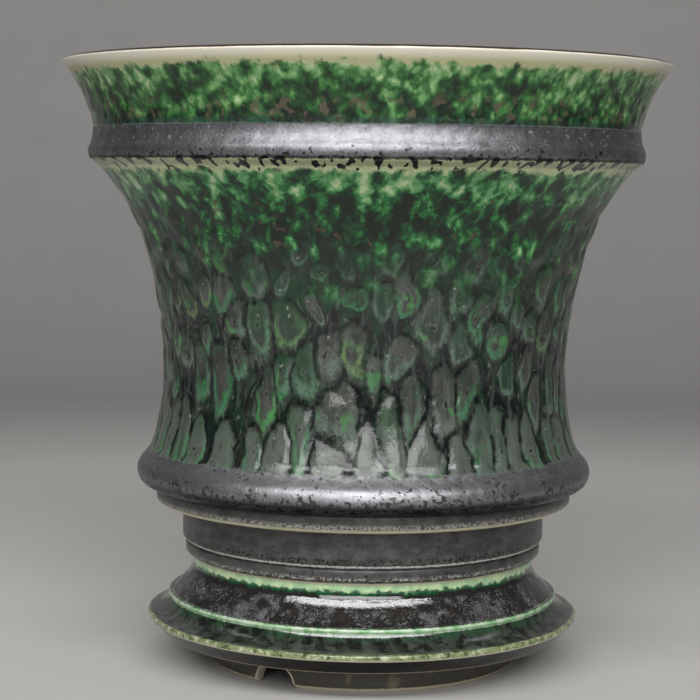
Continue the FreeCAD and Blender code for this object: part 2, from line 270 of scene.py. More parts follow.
class Turned:
    """The grid of a turned piece: rows of its section by columns round the axis, in millimetres."""

    def __init__(self, rows, columns):
        self.turn = np.arange(columns) * 2 * math.pi / columns
        self.radius = np.repeat(rows[:, :1], columns, axis=1)
        self.height = np.repeat(rows[:, 1:], columns, axis=1)
        self.normal = outward(rows)

    def points(self):
        return np.stack(
            [self.radius * np.cos(self.turn), self.radius * np.sin(self.turn), self.height], axis=-1
        )

    def push(self, amount):
        """Moves the surface out along its normal, in millimetres."""
        self.radius = self.radius + amount * self.normal[:, :1]
        self.height = self.height + amount * self.normal[:, 1:]

    def build(self, name, **fields):
        """The closed mesh as an object, with the given values kept at its points."""
        count, columns = self.radius.shape
        points = (self.points() * MM).reshape(-1, 3)
        row = np.arange(count)[:, None]
        column = np.arange(columns)[None, :]
        next_row, next_column = (row + 1) % count, (column + 1) % columns
        corners = [(row, column), (row, next_column), (next_row, next_column), (next_row, column)]
        faces = np.stack([(r * columns + c) * np.ones((count, columns), int) for r, c in corners], axis=-1)
        mesh = bpy.data.meshes.new(name)
        mesh.from_pydata(points.tolist(), [], faces.reshape(-1, 4).tolist())
        mesh.polygons.foreach_set("use_smooth", np.ones(len(mesh.polygons), bool))
        for field, values in fields.items():
            kind, slot = ("FLOAT_VECTOR", "vector") if values.ndim == 3 else ("FLOAT", "value")
            holder = mesh.attributes.new(field, kind, "POINT")
            holder.data.foreach_set(slot, values.astype(np.float32).ravel())
        piece = bpy.data.objects.new(name, mesh)
        bpy.context.scene.collection.objects.link(piece)
        return piece


def fits(node, rows):
    """Stops if a section doesn't reach as far as the solid that it stands for."""
    low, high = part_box(node)
    reach = [high.x / MM - rows[:, 0].max(), low.z / MM - rows[:, 1].min(), high.z / MM - rows[:, 1].max()]
    if max(abs(gap) for gap in reach) > FIT_SLACK:
        raise ValueError(f"{node}: the section misses the solid by {reach} mm")


def glaze_cells(turn, level, points):
    """Three arrays for the points of the wall, which is divided into cells with a drop of glaze in each.

    The first has each point's place in its drop across and up and its depth inside the drop's edge, the
    second its drop's three chances, and the third its distance from the nearest seam.
    """
    steps = np.linspace(CELL_LEVELS[0], CELL_LEVELS[-1], 400)
    heights = np.interp(steps, CELL_LEVELS, CELL_HEIGHTS)
    counted = np.concatenate([[0], np.cumsum(np.diff(steps) / heights[1:])])

    chance = np.random.default_rng(SEED)
    placed = np.zeros((0, 2))
    for spot in chance.uniform((0, 0), (CELL_COLUMNS, counted[-1] + 0.5), (CELL_TRIES, 2)):
        gap = np.abs(placed - spot)
        gap[:, 0] = np.minimum(gap[:, 0], CELL_COLUMNS - gap[:, 0])
        if len(placed) == 0 or np.hypot(*gap.T).min() > CELL_SPACING:
            placed = np.vstack([placed, spot])
    seed_turn = placed[:, 0] / CELL_COLUMNS * 2 * math.pi
    seed_rank = placed[:, 1]
    weight = chance.uniform(*CELL_SIZES, seed_rank.size)
    chances = chance.uniform(0, 1, (seed_rank.size, 3))
    seed_level = np.interp(seed_rank, counted, steps)

    radius = CELL_COLUMNS * CELL_WIDTH / (2 * math.pi)
    warped_turn = (turn + waver(points, 1, (5.0, 1.5), (2.2, 0.5)) / radius).ravel()
    warped_level = (level + waver(points, 3, (6.0, 1.8), (2.2, 0.6))).ravel()
    rank = np.interp(warped_level, steps, counted)
    place = np.zeros((rank.size, 3))
    picked = np.zeros((rank.size, 3))
    seam = np.zeros(rank.size)
    drop_size = np.interp(warped_level, DROP_LEVELS, DROP_SIZES)
    for begin in range(0, rank.size, BATCH):
        part = slice(begin, begin + BATCH)
        sideways = warped_turn[part, None] - seed_turn[None, :]
        sideways = (sideways + math.pi) % (2 * math.pi) - math.pi
        sideways *= radius / CELL_WIDTH
        upward = rank[part, None] - seed_rank[None, :]
        distance = np.hypot(sideways, upward) / weight[None, :]
        order = np.argpartition(distance, 1, axis=1)[:, :2]
        pair = np.take_along_axis(distance, order, axis=1)
        nearest = np.where(pair[:, 0] <= pair[:, 1], order[:, 0], order[:, 1])
        first, second = pair.min(axis=1), pair.max(axis=1)
        between = (second - first) * 0.5 * CELL_WIDTH
        inside = (drop_size[part] - first) * CELL_WIDTH
        index = np.arange(nearest.size)
        place[part, 0] = sideways[index, nearest] * CELL_WIDTH
        place[part, 1] = warped_level[part] - seed_level[nearest]
        place[part, 2] = np.minimum(between - SEAM_HALF, inside)
        picked[part] = chances[nearest]
        seam[part] = between
    return place.reshape(turn.shape + (3,)), picked.reshape(turn.shape + (3,)), seam.reshape(turn.shape)


def make_bowl():
    """The bowl with its glaze standing in raised cells on the wall."""
    def pitch_at(points):
        radius, level = points.T
        outside = radius > np.interp(level, WALL_LEVELS, WALL_RADII)
        fine = np.interp(level, [98, 99, 106, 107], [BOWL_PITCH, BAND_PITCH, BAND_PITCH, BOWL_PITCH])
        return np.where(outside, fine, INSIDE_PITCH)

    rows = section_rows(BOWL_OUTSIDE + BOWL_INSIDE, pitch_at)
    fits("bowl", rows)
    grid = Turned(rows, BOWL_COLUMNS)
    points = grid.points()
    level = grid.height
    outside = ease(grid.radius - np.interp(level, WALL_LEVELS, WALL_RADII), -0.25, 0.25)
    turn = np.repeat(grid.turn[None, :], rows.shape[0], axis=0)
    place, picked, seam = glaze_cells(turn, level, points)

    edge = place[..., 2]
    drops = DROP_HEIGHT * ease(edge, -0.5, 1.3) + SEAM_HEIGHT * ease(seam, 0.0, 0.8)
    crust = CRUST_HEIGHT * np.exp(-((seam - 0.45) / 0.25) ** 2) * (1 - ease(edge, -0.4, 0.0))
    crust *= ease(smooth_noise(points, 2.0, 5), 0.1, 0.6)
    uneven = CELL_UNEVEN * smooth_noise(points, 2.6, 6)
    celled = zone(level, *CELL_ZONE) * (1 - CELL_LOSS * ease(level, *CELL_LOSS_LEVELS))
    relief = celled * (drops + crust - CELL_SINK + uneven)
    relief += zone(level, *RIM_ZONE) * (waver(points, 7, (2.2, 0.16), (1.1, 0.09)) - RIM_SINK)
    metal = zone(level, *BAND_ZONE) + zone(level, *BEAD_ZONE)
    relief += metal * waver(points, 9, (1.3, 0.05), (3.5, 0.05))
    grid.push(relief * outside)
    return grid.build("bowl_glazed", cell=place, chance=picked, seam=seam, outside=outside)


def make_turned(node, steps, pitch, columns, ripple):
    """A turned piece with a faint ripple on the parts that don't bear on another piece."""
    rows = section_rows(steps, lambda points: np.full(len(points), pitch))
    fits(node, rows)
    grid = Turned(rows, columns)
    points = grid.points()
    above = grid.height - rows[:, 1].min()
    under = rows[:, 1].max() - grid.height
    free = ease(above, *RIPPLE_MARGIN) * ease(under, *RIPPLE_MARGIN) * ease(grid.radius, *RIPPLE_RADIUS)
    grid.push(free * ripple * waver(points, 20, (6.0, 1.0), (2.2, 0.5)))
    return grid.build(node + "_glazed")


def make_foot():
    """The foot ring with its arched notches, and each point's distance from them."""
    rows = section_rows(FOOT_SECTION, lambda points: np.full(len(points), FOOT_PITCH))
    fits("foot_ring", rows)
    grid = Turned(rows, FOOT_COLUMNS)
    clear = np.full(grid.height.shape, NOTCH_RADIUS)
    for angle in NOTCH_ANGLES:
        facing = grid.radius * np.cos(grid.turn - angle) > 0
        beside = grid.radius * np.sin(grid.turn - angle)
        arch = np.sqrt(np.maximum(NOTCH_RADIUS**2 - beside**2, 0))
        grid.height = np.where(facing, np.maximum(grid.height, arch), grid.height)
        gap = np.hypot(beside, grid.height) - NOTCH_RADIUS
        clear = np.where(facing, np.minimum(clear, gap), clear)
    return grid.build("foot_ring_glazed", clear=clear)


def tone(red, green, blue):
    """A colour written as it looks on a screen."""
    channels = []
    for value in (red, green, blue):
        share = value / 255
        channels.append(share / 12.92 if share <= 0.04045 else ((share + 0.055) / 1.055) ** 2.4)
    return (*channels, 1.0)


class Glaze:
    """Builds a material's nodes. Each call returns the socket that carries its result."""

    def __init__(self, name):
        self.material = bpy.data.materials.new(name)
        self.material.use_nodes = True
        self.tree = self.material.node_tree
        self.tree.nodes.clear()
        place = self.add("ShaderNodeTexCoord").outputs["Object"]
        self.spot = self.vector("SCALE", place, scale=1 / MM)
        self.level = self.parts(self.spot)[2]

    def add(self, kind):
        return self.tree.nodes.new(kind)

    def join(self, value, socket):
        if isinstance(value, bpy.types.NodeSocket):
            self.tree.links.new(value, socket)
        else:
            socket.default_value = value

    def vector(self, operation, first, second=None, scale=None):
        node = self.add("ShaderNodeVectorMath")
        node.operation = operation
        self.join(first, node.inputs[0])
        if second is not None:
            self.join(second, node.inputs[1])
        if scale is not None:
            node.inputs["Scale"].default_value = scale
        return node.outputs["Value" if operation == "LENGTH" else "Vector"]

    def parts(self, vector):
        node = self.add("ShaderNodeSeparateXYZ")
        self.join(vector, node.inputs[0])
        return node.outputs

    def math(self, operation, first, second=0.0):
        node = self.add("ShaderNodeMath")
        node.operation = operation
        self.join(first, node.inputs[0])
        self.join(second, node.inputs[1])
        return node.outputs[0]

    def plus(self, first, *others):
        for other in others:
            first = self.math("ADD", first, other)
        return first

    def times(self, first, *others):
        for other in others:
            first = self.math("MULTIPLY", first, other)
        return first

    def minus(self, first, second):
        return self.math("SUBTRACT", first, second)

    def rest(self, value):
        return self.minus(1.0, value)

    def most(self, first, *others):
        for other in others:
            first = self.math("MAXIMUM", first, other)
        return first

    def swing(self, value, reach):
        """A cloudy value about 0.5 as one about 0, made larger by reach."""
        return self.times(self.minus(value, 0.5), reach)

    def span(self, value, low, high, start=0.0, end=1.0):
        """Start at low and before it, end at high and past it, smooth between. Low may be above high."""
        node = self.add("ShaderNodeMapRange")
        node.interpolation_type = "SMOOTHSTEP"
        for socket, given in zip(node.inputs, (value, low, high, start, end)):
            self.join(given, socket)
        return node.outputs[0]

    def band(self, value, low, high, blur):
        """1 between two values, 0 outside, with blurred ends."""
        inside = self.span(value, low - blur, low + blur)
        return self.times(inside, self.span(value, high - blur, high + blur, 1.0, 0.0))

    def flat(self):
        """Places without their height."""
        return self.vector("MULTIPLY", self.spot, (1.0, 1.0, 0.0))

    def rolled(self, radius):
        """Places moved out or in to one radius, so that a pattern doesn't change along a ledge."""
        ring = self.vector("SCALE", self.vector("NORMALIZE", self.flat()), scale=radius)
        return self.vector("ADD", ring, self.vector("MULTIPLY", self.spot, (0.0, 0.0, 1.0)))

    def noise(self, grain, stretch=1.0, detail=2.0, rough=0.55, warp=0.0, offset=0.0, spot=None):
        """Cloudy values about 0.5 with a grain in millimetres, drawn out upwards by stretch."""
        node = self.add("ShaderNodeTexNoise")
        place = self.vector("MULTIPLY", spot or self.spot, (1.0, 1.0, 1.0 / stretch))
        place = self.vector("ADD", place, (offset, offset * 1.7, offset * 2.3))
        self.join(place, node.inputs["Vector"])
        node.inputs["Scale"].default_value = 1.0 / grain
        node.inputs["Detail"].default_value = detail
        node.inputs["Roughness"].default_value = rough
        node.inputs["Distortion"].default_value = warp
        return node.outputs["Fac"]

    def patches(self, place, grain, offset):
        """The node of a pattern of patches with a grain in millimetres."""
        node = self.add("ShaderNodeTexVoronoi")
        self.join(self.vector("ADD", place, (offset, offset * 1.3, offset * 0.7)), node.inputs["Vector"])
        node.inputs["Scale"].default_value = 1.0 / grain
        return node

    def drops(self, grain, stretch, sway, offset):
        """Round patches: 1 at their middles, 0 a grain away, pushed about by sway grains."""
        push = self.add("ShaderNodeTexNoise")
        self.join(self.spot, push.inputs["Vector"])
        push.inputs["Scale"].default_value = 1.0 / grain
        push.inputs["Detail"].default_value = 1.0
        sideways = self.vector("SUBTRACT", push.outputs["Color"], (0.5, 0.5, 0.5))
        place = self.vector("ADD", self.spot, self.vector("SCALE", sideways, scale=sway * grain))
        node = self.patches(self.vector("MULTIPLY", place, (1.0, 1.0, 1.0 / stretch)), grain, offset)
        node.feature = "SMOOTH_F1"
        node.inputs["Smoothness"].default_value = 0.35
        return self.rest(node.outputs["Distance"])

    def flakes(self, grain, offset):
        """A random value for each flake of a crystal pattern."""
        colours = self.add("ShaderNodeSeparateColor")
        self.join(self.patches(self.spot, grain, offset).outputs["Color"], colours.inputs[0])
        return colours.outputs[0]

    def ramp(self, value, *stops):
        """Colours at rising values."""
        node = self.add("ShaderNodeValToRGB")
        node.color_ramp.interpolation = "EASE"
        elements = node.color_ramp.elements
        while len(elements) < len(stops):
            elements.new(0.5)
        for element, (position, colour) in zip(elements, stops):
            element.position = position
            element.color = colour
        self.join(value, node.inputs[0])
        return node.outputs[0]

    def mix(self, share, first, second):
        """A colour that goes from the first to the second."""
        node = self.add("ShaderNodeMix")
        node.data_type = "RGBA"
        self.join(share, node.inputs["Factor"])
        self.join(first, node.inputs[6])
        self.join(second, node.inputs[7])
        return node.outputs[2]

    def paint(self, colour, coat, *shares):
        """A colour under a coat, which covers it by the product of the shares."""
        return self.mix(self.times(*shares), colour, coat)

    def blend(self, share, first, second):
        """A number that goes from the first to the second."""
        node = self.add("ShaderNodeMix")
        node.data_type = "FLOAT"
        self.join(share, node.inputs["Factor"])
        self.join(first, node.inputs[2])
        self.join(second, node.inputs[3])
        return node.outputs[0]

    def kept(self, name, output="Fac"):
        """The values kept at the mesh's points under a name."""
        node = self.add("ShaderNodeAttribute")
        node.attribute_name = name
        return node.outputs[output]

    def kept_parts(self, name):
        return self.parts(self.kept(name, "Vector"))

    def finish(self, colour, roughness, metallic=0.0, height=None, depth=0.1, specular=0.5):
        """The surface: colour, shine, metal and a bump of the given depth in millimetres."""
        shader = self.add("ShaderNodeBsdfPrincipled")
        self.join(colour, shader.inputs["Base Color"])
        self.join(roughness, shader.inputs["Roughness"])
        self.join(metallic, shader.inputs["Metallic"])
        shader.inputs["Specular IOR Level"].default_value = specular
        if height is not None:
            bump = self.add("ShaderNodeBump")
            bump.inputs["Distance"].default_value = depth * MM
            self.join(height, bump.inputs["Height"])
            self.join(bump.outputs["Normal"], shader.inputs["Normal"])
        output = self.add("ShaderNodeOutputMaterial")
        self.join(shader.outputs[0], output.inputs["Surface"])
        return self.material


def bowl_material():
    """Cream lip, green rim, pewter band, wall of green flecks over dark cells, pewter bead, dark inside."""
    g = Glaze("bowl_glaze_celled")
    level = g.level
    fine = g.noise(0.7, stretch=1.4, detail=3.0)
    middle = g.noise(2.2, stretch=1.5, detail=3.0, rough=0.6, warp=0.6, offset=11.0)
    broad = g.noise(9.0, offset=23.0)
    hairs = g.noise(1.2, stretch=1.8, warp=0.5, offset=37.0)
    rust = g.noise(1.9, detail=1.0, offset=47.0)
    across, up, edge = g.kept_parts("cell")
    pick_a, pick_b, pick_c = g.kept_parts("chance")
    outside = g.kept("outside")

    # rim: green blotches and flecks under the cream lip
    blotch = g.noise(3.4, stretch=1.25, detail=3.5, warp=0.3, offset=31.0)
    beads = g.minus(g.drops(2.3, stretch=1.1, sway=1.3, offset=41.0), 0.56)
    green = g.plus(g.swing(blotch, 1.05), g.swing(hairs, 0.4), g.times(beads, 0.5), 0.5)
    green = g.plus(green, g.span(level, 111.5, 116.5, -0.04, 0.2), g.span(level, 107.0, 111.0, -0.01, 0.03))
    rim = g.ramp(
        g.plus(green, g.swing(broad, 0.5)),
        (0.26, tone(10, 30, 14)),
        (0.42, tone(24, 62, 28)),
        (0.56, tone(50, 100, 48)),
        (0.70, tone(98, 142, 86)),
        (0.90, tone(160, 180, 134)),
    )
    rim = g.paint(rim, tone(92, 80, 64), g.span(rust, 0.54, 0.66), g.span(level, 112.0, 109.0), 0.65)
    lip_line = g.plus(level, g.swing(blotch, 4.0), g.swing(hairs, 1.6))
    cream = g.mix(g.span(level, 116.4, 118.2), tone(172, 171, 130), tone(226, 221, 203))
    rim = g.paint(rim, cream, g.span(lip_line, *LIP_FOOT))
    rim = g.paint(rim, tone(50, 36, 27), g.span(g.plus(level, g.swing(broad, 0.3)), *CREST))

    # upper wall: pale streaks and green flecks
    streak = g.noise(3.0, stretch=1.35, detail=3.0, rough=0.5, warp=0.3, offset=53.0)
    trails = g.minus(g.drops(2.6, stretch=1.7, sway=1.3, offset=17.0), 0.52)
    curl = g.noise(4.2, stretch=1.2, detail=1.0, warp=0.8, offset=59.0)
    curl = g.span(g.math("ABSOLUTE", g.minus(curl, 0.5)), 0.07, 0.0)
    flow = g.plus(g.swing(streak, 1.1), g.swing(hairs, 0.4), g.times(trails, 0.55), 0.45)
    flow = g.plus(flow, g.times(curl, 0.1), g.span(level, 88.0, 97.5, -0.10, 0.18), g.swing(broad, 0.4))
    flecks = g.ramp(
        flow,
        (0.26, tone(9, 24, 14)),
        (0.42, tone(16, 52, 27)),
        (0.56, tone(34, 96, 46)),
        (0.70, tone(84, 140, 86)),
        (0.96, tone(164, 184, 140)),
    )
    flecks = g.paint(flecks, tone(78, 58, 46), g.span(rust, 0.65, 0.75), g.span(level, 95.0, 92.0), 0.65)

    # lower wall: the dark ground between the drops, with green stains, a painted highlight along the crust
    # ridges of the seams and a painted shadow arc above each drop
    rough_edge = g.plus(edge, g.swing(middle, 1.8), g.swing(fine, 0.6))
    cloud = g.noise(4.0, stretch=1.8, detail=3.0, offset=67.0)
    seam = g.plus(g.kept("seam"), g.swing(fine, 0.3))
    stain = g.times(g.span(cloud, 0.42, 0.62), g.span(level, 50.0, 72.0, 0.4, 0.8))
    # pale lines along the seams: a painted highlight for light caught on the crust ridges, which are real
    # relief
    painted_crackle_highlight = g.times(g.band(seam, 0.4, 0.62, 0.1), g.span(hairs, 0.5, 0.64), g.span(level, 84.0, 62.0))
    # a dark arc in the ground over each drop's upper edge: painted shadow under the overlapping drop above
    painted_shadow_arc = g.times(g.band(rough_edge, -0.6, -0.1, 0.25), g.span(up, 0.4, 2.2))
    ground = g.mix(g.span(middle, 0.3, 0.7), tone(20, 23, 21), tone(44, 45, 42))
    ground = g.paint(ground, tone(18, 54, 32), stain)
    ground = g.paint(ground, tone(122, 124, 120), painted_crackle_highlight, 0.55)
    ground = g.paint(ground, tone(12, 14, 14), painted_shadow_arc, 0.85)

    # the drops, greener higher up and paler at the foot, partly as painted sheen, with light lower rims,
    # dark eyes and painted glints
    tint = g.plus(pick_b, g.swing(broad, 1.2), g.span(level, 62.0, 86.0, 0.0, 0.45))
    low = g.span(up, 1.8, -1.6, 0.15, 1.0)
    rim_tone = g.ramp(
        pick_a,
        (0.0, tone(94, 104, 96)),
        (0.5, tone(84, 112, 92)),
        (0.8, tone(60, 120, 80)),
        (0.94, tone(96, 124, 78)),
        (1.0, tone(34, 128, 60)),
    )
    lower_rim = g.times(g.band(rough_edge, 0.1, 0.9, 0.35), low, g.span(fine, 0.2, 0.55))
    wide = g.math("POWER", g.times(across, 1.3), 2.0)
    tall = g.math("POWER", g.plus(up, g.swing(middle, 3.0)), 2.0)
    oval = g.math("POWER", g.plus(wide, tall), 0.5)
    ringed = g.span(pick_c, 0.35, 0.45)
    ring = g.times(g.band(oval, 0.5, 1.0, 0.3), ringed, g.span(fine, 0.4, 0.6))
    painted_glint = g.noise(0.8, detail=1.0, offset=83.0)
    spark = g.noise(3.4, stretch=1.3, detail=2.5, warp=0.4, offset=61.0)
    emerald = g.mix(pick_c, tone(22, 110, 46), tone(72, 128, 70))
    drop = g.mix(g.span(cloud, 0.32, 0.68), tone(42, 43, 41), tone(70, 69, 66))
    drop = g.paint(drop, tone(26, 58, 37), g.span(tint, 0.45, 1.0), 0.7)
    # paler towards the foot: partly a paler pooled glaze, partly painted sheen
    drop = g.paint(drop, tone(92, 99, 91), g.span(level, 58.0, 46.0), 0.6)
    drop = g.paint(drop, rim_tone, lower_rim, 0.75)
    drop = g.paint(drop, tone(104, 110, 103), ring, 0.4)
    drop = g.paint(drop, tone(26, 18, 15), g.span(oval, 0.5, 0.2), ringed, 0.9)
    # small pale dots: painted glints
    drop = g.paint(drop, tone(160, 160, 154), g.span(painted_glint, 0.71, 0.77), 0.55)
    drop = g.paint(drop, emerald, g.span(spark, 0.57, 0.70), low, 0.85)

    # drops on the ground, with dark pools and channels between them and fine runs over all
    gully = g.noise(6.0, stretch=2.2, detail=1.5, warp=0.4, offset=97.0)
    pool = g.times(g.span(gully, 0.46, 0.36), g.span(rough_edge, 0.3, -0.2), g.span(level, 84.0, 70.0))
    channel = g.times(g.span(seam, 0.36, 0.08), g.span(gully, 0.50, 0.60))
    channel = g.times(channel, g.span(level, 45.0, 57.0, 0.35, 1.0))
    runs = g.noise(1.3, stretch=5.0, warp=0.3, offset=89.0)
    cells = g.mix(g.span(rough_edge, -0.4, 0.5), ground, drop)
    cells = g.paint(cells, tone(10, 17, 17), pool, 0.8)
    cells = g.paint(cells, tone(8, 11, 11), channel, 0.9)
    cells = g.paint(cells, tone(22, 42, 31), g.span(runs, 0.54, 0.68), 0.45)
    cells = g.paint(cells, tone(92, 104, 94), g.span(runs, 0.44, 0.34), 0.25)

    # the whole wall: cells, flecks over them and the cream line at the top
    change = g.plus(level, g.swing(middle, 14.0), g.swing(broad, 22.0))
    wall = g.mix(g.span(change, *FLECKS_FOOT), cells, flecks)
    line = g.plus(level, g.swing(fine, 1.2), g.swing(streak, 4.0))
    cream_line = g.mix(fine, tone(158, 174, 124), tone(198, 202, 162))
    wall = g.paint(wall, cream_line, g.span(line, *LINE_FOOT))

    # metal band and bead with black pits and drips along their edges, and painted shade under the band's
    # bulge and on the bead's underside
    grain = g.noise(0.5, detail=4.0, rough=0.7, offset=3.0)
    haze = g.noise(3.5, detail=3.0, rough=0.6, offset=9.0)
    metal = g.ramp(
        g.plus(g.times(grain, 0.6), g.times(haze, 0.5)),
        (0.36, tone(90, 90, 93)),
        (0.54, tone(122, 122, 125)),
        (0.70, tone(140, 140, 143)),
    )
    pits = g.noise(1.0, detail=2.5, rough=0.6, offset=73.0)
    band_pits = g.span(g.plus(pits, g.span(level, 102.0, 99.8, 0.0, 0.07)), 0.61, 0.67)
    # the band's lower edge under its bulge is darkened with painted shade
    band_underside_shade = g.span(g.plus(level, g.swing(grain, 1.2)), 100.5, 100.0)
    band = g.paint(metal, tone(13, 14, 14), band_pits, g.span(level, 103.5, 101.5))
    band = g.paint(band, tone(34, 35, 35), band_underside_shade, 0.8)
    drips = g.noise(1.3, detail=0.5, offset=79.0, spot=g.rolled(54.0))
    drips = g.span(g.plus(drips, g.span(level, 97.4, 99.4, -0.12, 0.04)), 0.57, 0.62)
    drips = g.times(drips, g.span(level, 96.8, 97.6), g.span(level, 100.6, 100.0))
    ledge = g.mix(fine, tone(130, 138, 102), tone(184, 186, 150))
    bead_pits = g.plus(pits, g.swing(broad, 0.4), g.span(level, 40.5, 37.5, -0.03, 0.11))
    bead_pits = g.span(bead_pits, 0.57, 0.66)
    bead = g.mix(0.14, metal, tone(196, 196, 198))
    bead = g.paint(bead, tone(16, 15, 15), bead_pits, 0.9)
    # the bead's underside is darkened with painted shade
    bead = g.paint(bead, tone(22, 22, 22), g.span(level, 38.6, 36.9))

    # all zones from the rim down
    is_rim = g.span(g.plus(level, g.swing(fine, 0.8)), *BAND_TOP)
    is_ledge = g.span(g.plus(level, g.swing(grain, 1.0)), *LEDGE_TOP)
    is_bead = g.span(g.plus(level, g.swing(middle, 2.0), g.swing(fine, 0.8)), *BEAD_TOP)
    # the dark in the crease above the band is painted shade, mixed with teal glaze
    groove = g.mix(g.span(middle, 0.45, 0.6), tone(22, 28, 25), tone(40, 72, 58))
    colour = g.mix(is_rim, band, rim)
    colour = g.paint(colour, groove, g.band(level, 105.8, 107.0, 0.35), 0.75)
    colour = g.paint(colour, ledge, is_ledge)
    colour = g.paint(colour, wall, g.span(level, *WALL_TOP))
    colour = g.paint(colour, tone(12, 15, 13), drips)
    colour = g.paint(colour, bead, is_bead)
    inside = g.mix(g.noise(3.0, stretch=2.0, detail=4.0, offset=71.0), tone(24, 20, 17), tone(52, 44, 34))
    colour = g.paint(colour, inside, g.span(outside, 0.62, 0.42))

    # shine: glossy glaze, duller where it thins out at the wall's foot, and satin metal
    band_metal = g.times(g.span(level, 105.9, 105.7), g.rest(is_ledge), g.rest(g.times(band_pits, 0.8)))
    metal_share = g.most(band_metal, g.times(is_bead, g.rest(g.times(bead_pits, 0.8))))
    shine = g.blend(g.span(level, 45.0, 43.4), g.blend(fine, 0.06, 0.14), 0.26)
    roughness = g.blend(metal_share, shine, g.blend(grain, 0.34, 0.50))
    metal_share = g.times(metal_share, g.span(outside, 0.4, 0.6))
    graining = g.times(grain, g.blend(metal_share, 0.2, 0.45))
    height = g.plus(g.times(fine, 0.5), graining, g.times(pits, -0.25, metal_share))
    return g.finish(colour, roughness, g.times(metal_share, 0.9), height, depth=0.08)


def neck_material():
    """Satin grey glaze with pale lines and fringes along its edges."""
    g = Glaze("neck_glaze_satin")
    fine = g.noise(0.5, detail=4.0, rough=0.7, offset=5.0)
    cloud = g.noise(3.0, stretch=0.6, detail=3.0, offset=15.0)
    pits = g.noise(1.1, offset=25.0)
    shade = g.plus(g.times(fine, 0.3), g.times(cloud, 0.7))
    ragged = g.plus(g.level, g.swing(fine, 0.9))
    plate_fringe = g.times(g.band(ragged, 32.5, 33.7, 0.35), g.span(fine, 0.42, 0.56), 0.8)
    plate_line = g.band(ragged, 32.05, 32.75, 0.08)
    groove_shade = g.times(g.band(ragged, 25.3, 26.3, 0.3), g.span(fine, 0.52, 0.44))
    groove_line = g.band(ragged, 24.75, 25.15, 0.08)
    foot_fringe = g.times(g.band(ragged, 22.0, 22.9, 0.3), g.span(fine, 0.48, 0.58))
    colour = g.ramp(shade, (0.34, tone(60, 60, 60)), (0.66, tone(88, 89, 88)))
    colour = g.paint(colour, tone(150, 148, 138), plate_fringe)
    colour = g.paint(colour, tone(200, 196, 164), plate_line)
    colour = g.paint(colour, tone(22, 24, 23), groove_shade)
    colour = g.paint(colour, tone(196, 198, 190), groove_line)
    colour = g.paint(colour, tone(150, 148, 140), foot_fringe)
    colour = g.paint(colour, tone(20, 20, 20), g.span(pits, 0.66, 0.72), 0.7)
    bare = g.most(plate_fringe, plate_line, groove_line, foot_fringe)
    return g.finish(colour, g.blend(fine, 0.30, 0.42), g.blend(bare, 0.5, 0.1), fine, depth=0.03)


